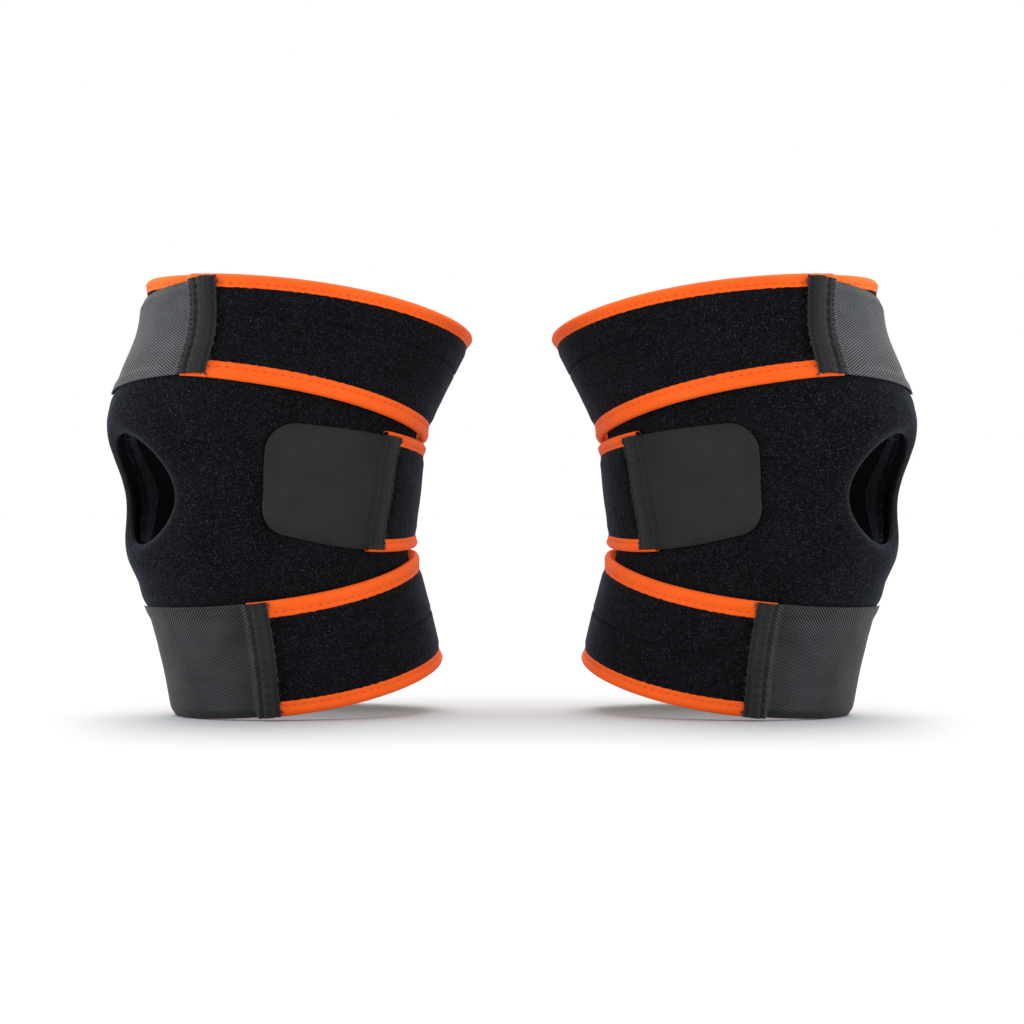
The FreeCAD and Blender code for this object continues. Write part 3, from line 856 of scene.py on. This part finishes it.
# Half of a pocket's angle and width, and its ends' gap to the rims.
POCKET_HALF_ANGLE, POCKET_HALF_WIDTH, POCKET_END = 12, 15.0, 34.0
# Half the angle between a pocket's two stays, their ends' gap to the rims, and their form.
STAY_SHIFT, STAY_END, STAY_OFF = 5.5, 37.0, -5.5
STAY_TURNS, STAY_SWING, STAY_LIFT, WIRE_RADIUS, WIRE_SIDES = 60, 2.1, 0.42, 0.32, 5


def pocket(side, name, middle):
    """A pocket of cloth on the lining, with a swelling over each stay."""
    v = np.linspace(0, 1, 70)
    t = np.linspace(-1, 1, 25)
    u = np.repeat((middle + POCKET_HALF_ANGLE * t)[:, None], len(v), 1)
    low, high = rim_to_rim(POCKET_END, u, -6.0)
    n = low + (high - low) * v[None]
    along = np.minimum(v, 1 - v)[None] * (high - low) * STEP
    side_gap = (1 - abs(t))[:, None] * POCKET_HALF_WIDTH
    swell = smooth(np.minimum(along, side_gap) / 3.5)
    channels = 0.6 * hump(t[:, None] * POCKET_HALF_WIDTH, 1.3)
    depth = -4.7 - 2.4 * swell + channels * swell
    front, back = skin(n, u, -4.62 + 0.0 * n), skin(n, u, depth - 0.15)
    uv = np.stack([u * 1.2, n * STEP], -1)
    return ribbon(f"{side}_{name}_stay_pocket", side, back, front, uv, [POCKET])


def stays(side, name, middle):
    """Two flat stays of wound wire in one mesh."""
    points, faces, uv = [], [], []
    for shift in (-STAY_SHIFT, STAY_SHIFT):
        centre = middle + shift
        low, high = (float(v) for v in rim_to_rim(STAY_END, centre, STAY_OFF))
        t = np.linspace(0, 1, STAY_TURNS * 8 + 1)
        n = low + (high - low) * t
        phase = t * STAY_TURNS * 2 * math.pi
        swing, lift = STAY_SWING * np.sin(phase), STAY_LIFT * np.cos(phase)
        line_u, line_o = centre + swing, -5.55 + lift
        start = len(points)
        for k in range(len(t)):
            for m in range(WIRE_SIDES):
                angle = math.tau * m / WIRE_SIDES
                points.append((n[k] + WIRE_RADIUS * math.cos(angle) / STEP, line_u[k],
                               line_o[k] + WIRE_RADIUS * math.sin(angle)))
                uv.append((k * 1.0, m * 0.4))
        for k in range(len(t) - 1):
            for m in range(WIRE_SIDES):
                a, b = start + k * WIRE_SIDES + m, start + k * WIRE_SIDES + (m + 1) % WIRE_SIDES
                faces.append((a, b, b + WIRE_SIDES, a + WIRE_SIDES))
        faces.append(tuple(start + m for m in range(WIRE_SIDES)))
        faces.append(tuple(start + (len(t) - 1) * WIRE_SIDES + m for m in range(WIRE_SIDES)))
    points = np.array(points)
    return build(f"{side}_{name}_stays", side, skin(points[:, 0], points[:, 1], points[:, 2]), faces,
                 np.array(uv), [STEEL])


RING_FACE, RING_WIDTH, RING_FRONT, RING_BACK = -6.0, 13.0, -5.3, -9.0


def ring_blank():
    """The kneecap ring before it swells: local points and quads of a closed flat ring."""
    around = 96
    angle = np.linspace(0, math.tau, around, endpoint=False)
    rim_n, rim_u = on_oval(angle, RING_FACE)
    n, u = on_oval(angle, RING_FACE, 1 + RING_WIDTH / OPENING_HALF_Y)
    share = np.linspace(0.06, 1, 7)
    grid_n = rim_n[:, None] + (n - rim_n)[:, None] * share[None]
    grid_u = rim_u[:, None] + (u - rim_u)[:, None] * share[None]
    front, back = skin(grid_n, grid_u, RING_FRONT), skin(grid_n, grid_u, RING_BACK)
    loop = np.concatenate([front, back[:, ::-1]], 1)
    per = loop.shape[1]
    quads = []
    for k in range(around):
        for m in range(per):
            a, b = k * per + m, ((k + 1) % around) * per + m
            c, d = ((k + 1) % around) * per + (m + 1) % per, k * per + (m + 1) % per
            quads.append((a, b, c, d))
    return loop.reshape(-1, 3), quads


# In metres and Blender's own units: voxel, cloth pressure, frames and the most a point may move.
VOXEL, PRESSURE, SIM_FRAMES, SWELL_CAP = 0.0026, 4.0, 20, 0.0016


def applied(obj):
    """Put an object's modifiers into its mesh."""
    graph = bpy.context.evaluated_depsgraph_get()
    mesh = bpy.data.meshes.new_from_object(obj.evaluated_get(graph))
    obj.modifiers.clear()
    obj.data = mesh
    return mesh


def swollen(obj):
    """Remesh a blank and let cloth under pressure swell it, by at most the cap."""
    remesh = obj.modifiers.new("even", "REMESH")
    remesh.mode = "VOXEL"
    remesh.voxel_size = VOXEL
    mesh = applied(obj)
    start = np.array([v.co for v in mesh.vertices])
    end = start
    cloth = obj.modifiers.new("swell", "CLOTH").settings
    cloth.use_pressure = True
    cloth.uniform_pressure_force = PRESSURE
    cloth.effector_weights.gravity = 0
    cloth.mass, cloth.tension_stiffness, cloth.bending_stiffness = 0.2, 30, 2
    scene = bpy.context.scene
    for number in range(1, SIM_FRAMES + 1):
        scene.frame_set(number)
    graph = bpy.context.evaluated_depsgraph_get()
    swelled = obj.evaluated_get(graph).data
    end = np.array([v.co for v in swelled.vertices])
    obj.modifiers.clear()
    scene.frame_set(1)
    move = end - start
    far = norm(move, axis=1, keepdims=True)
    move = move * np.minimum(1.0, SWELL_CAP / np.maximum(far, 1e-9))
    mesh.vertices.foreach_set("co", (start + move).astype(np.float32).ravel())
    mesh.update()
    finer = obj.modifiers.new("finer", "SUBSURF")
    finer.levels = finer.render_levels = 1
    applied(obj)


def ring_pair():
    """The two kneecap rings: one is swollen and the other is its mirror image."""
    points, quads = ring_blank()
    left = build("left_kneecap_ring", "left", points, quads, points[:, 1:], [PLUSH])
    swollen(left)
    left.data.materials.clear()
    left.data.materials.append(PLUSH)
    left.data.polygons.foreach_set("use_smooth", np.ones(len(left.data.polygons), bool))
    mesh = left.data.copy()
    mesh.name = "right_kneecap_ring"
    for vertex in mesh.vertices:
        vertex.co.x = -vertex.co.x
    mesh.flip_normals()
    right = bpy.data.objects.new("right_kneecap_ring", mesh)
    bpy.context.scene.collection.objects.link(right)
    return {"left": left, "right": right}


# ---- bodies

# Section numbers of the straps' roots at the back, one for each strap.
ROOT_LEVEL = {"upper": 7.9, "middle": 5.2, "lower": 1.8}


def at_knee(obj):
    """Bakes the object's placement into its mesh."""
    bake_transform(obj)


def at_root(obj, name):
    """Works out the point where a strap is sewn to the back, which nothing uses, and bakes the object's
    placement into its mesh.
    """
    hinge = skin(ROOT_LEVEL[name], STRAP_ROOT, 5.2)
    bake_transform(obj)


def at_seam(obj, plan):
    """Works out the line where a tab leaves the end of its strap, which nothing uses, and bakes the object's
    placement into its mesh.
    """
    middle_n = 0.5 * (level(plan["low"], 0, plan["end"], 4.0) + level(plan["high"], 0, plan["end"], 4.0))
    seam = float(end_angle(plan, "end", middle_n))
    start, end = skin(middle_n, seam + 0.3, 4.0), skin(middle_n, seam - 9.0, 4.0)
    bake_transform(obj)


def make_support(side, ring):
    """All pieces of one support, built in place of its CAD nodes, which are hidden; the top and bottom
    bindings are hung on the thigh and calf bodies.
    """
    body = sleeve(side)
    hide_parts(f"{side}_thigh_panel", f"{side}_knee_panel", f"{side}_calf_panel")
    at_knee(body)
    trims = []
    for name, edge, high, seed in (("top", "top_rim", True, 21), ("bottom", "bottom_rim", False, 31)):
        made = edge_tape(f"{side}_{name}_binding", side, edge, high, INNER_WING, OUTER_WING, BINDING,
                         0.5, -4.7, seed, True, 0.0, 0.0 if high else HEM_LIFT)
        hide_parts(f"{side}_{name}_binding")
        for piece in made:
            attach(piece, f"{side}_thigh" if high else f"{side}_calf")
        trims += made
    for name, end, inward, seed in (("inner", INNER_WING, 1.0, 41), ("outer", OUTER_WING, -1.0, 51)):
        made = wing_tape(f"{side}_{name}_wing_binding", side, end, inward, seed)
        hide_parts(f"{side}_{name}_wing_binding")
        for piece in made:
            at_knee(piece)
        trims += made
    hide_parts(f"{side}_kneecap_ring")
    at_knee(ring)
    for name, middle in (("inner", 90.0), ("outer", 270.0)):
        cover = pocket(side, name, middle)
        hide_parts(f"{side}_{name}_stay_pocket")
        at_knee(cover)
        wires = stays(side, name, middle)
        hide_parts(f"{side}_{name}_stays")
        at_knee(wires)
    for name, plan in STRAPS.items():
        cloth = strap(side, name, plan)
        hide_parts(f"{side}_{name}_strap")
        at_root(cloth, name)
        tapes = []
        for border, edge, high, seed in (("top", plan["high"], True, 61), ("low", plan["low"], False, 71)):
            width = plan["tape_high"] if high else plan["tape_low"]
            mid = level(edge, 0.0, plan["end"], STRAP_MIDDLE)
            made = edge_tape(f"{side}_{name}_strap_{border}_binding", side, edge, high,
                             float(end_angle(plan, "end", mid)) + 0.2, STRAP_ROOT, width,
                             STRAP_OUT + 0.45, STRAP_IN - 0.45, seed + len(name), False, TAB_OVERLAP)
            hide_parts(f"{side}_{name}_strap_{border}_binding")
            for piece in made:
                at_root(piece, name)
            tapes += made
        flap, *extras = tab(side, name, plan)
        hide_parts(f"{side}_{name}_tab")
        for piece in (flap, *extras):
            at_seam(piece, plan)
        hooks = hook_patch(side, name, plan)
        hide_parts(f"{side}_{name}_hook_patch")
        at_seam(hooks, plan)


rings = ring_pair()
for side in ("left", "right"):
    make_support(side, rings[side])

# ---- stage, light and camera

FLOOR_REACH = 60.0
# The picture's side in pixels, the millimetres per pixel at the supports, and the camera.
IMAGE_SIDE, MM_PER_PIXEL = 1024, 0.575
SENSOR, CAMERA_AWAY, CAMERA_UP = 36.0, 1400, 115


def stage_floor():
    """Wide pale floor."""
    mesh = bpy.data.meshes.new("studio_floor")
    reach = FLOOR_REACH
    mesh.from_pydata([(-reach, -reach, 0), (reach, -reach, 0), (reach, reach, 0), (-reach, reach, 0)], [],
                     [(0, 1, 2, 3)])
    floor = bpy.data.objects.new("studio_floor", mesh)
    bpy.context.scene.collection.objects.link(floor)
    made, tree, shader = material("studio_white", 0.9, 0.0, 0.5, 0.0)
    where = on_object(tree)
    tone = noise(tree, where, 3, 2, 0.5)
    paint(tree, shader, ramp(tree, tone, [(0.0, (0.552, 0.552, 0.552)), (1.0, (0.562, 0.562, 0.562))]))
    mesh.materials.append(made)


def area_light(name, place, target, size, power, colour):
    """Rectangular lamp at a place, turned to a target."""
    lamp = bpy.data.lights.new(name, "AREA")
    lamp.shape = "RECTANGLE"
    lamp.size, lamp.size_y = size
    lamp.energy = power
    lamp.color = colour
    obj = bpy.data.objects.new(name, lamp)
    obj.location = place
    way = np.array(target, float) - np.array(place, float)
    obj.rotation_euler = Vector(way).to_track_quat("-Z", "Y").to_euler()
    bpy.context.scene.collection.objects.link(obj)


stage_floor()
scene = bpy.context.scene
scene.view_settings.view_transform = "Standard"
scene.view_settings.look = "None"
sky = bpy.data.worlds.new("studio")
sky.use_nodes = True
sky.node_tree.nodes["Background"].inputs["Color"].default_value = (1, 1, 1, 1)
sky.node_tree.nodes["Background"].inputs["Strength"].default_value = 1.0
scene.world = sky
sun = bpy.data.lights.new("overhead", "SUN")
sun.energy = 2.85
sun.angle = math.radians(50)
overhead = bpy.data.objects.new("overhead", sun)
overhead.rotation_euler = (math.radians(-24), 0, 0)
scene.collection.objects.link(overhead)
for name, sign in (("left_rim", -1), ("right_rim", 1)):
    area_light(name, (sign * 1.1, -0.22, 0.2), (sign * 0.15, 0, 0.14), (0.5, 0.34), 9.0, (0.80, 0.89, 1.0))

camera_data = bpy.data.cameras.new("camera")
camera_data.lens = SENSOR * CAMERA_AWAY / (IMAGE_SIDE * MM_PER_PIXEL)
camera_data.sensor_width = SENSOR
camera_data.dof.use_dof = False
camera = bpy.data.objects.new("camera", camera_data)
camera.location = (0.0, -CAMERA_AWAY * MM, CAMERA_UP * MM)
camera.rotation_euler = (math.radians(90), 0, 0)
scene.collection.objects.link(camera)
scene.camera = camera
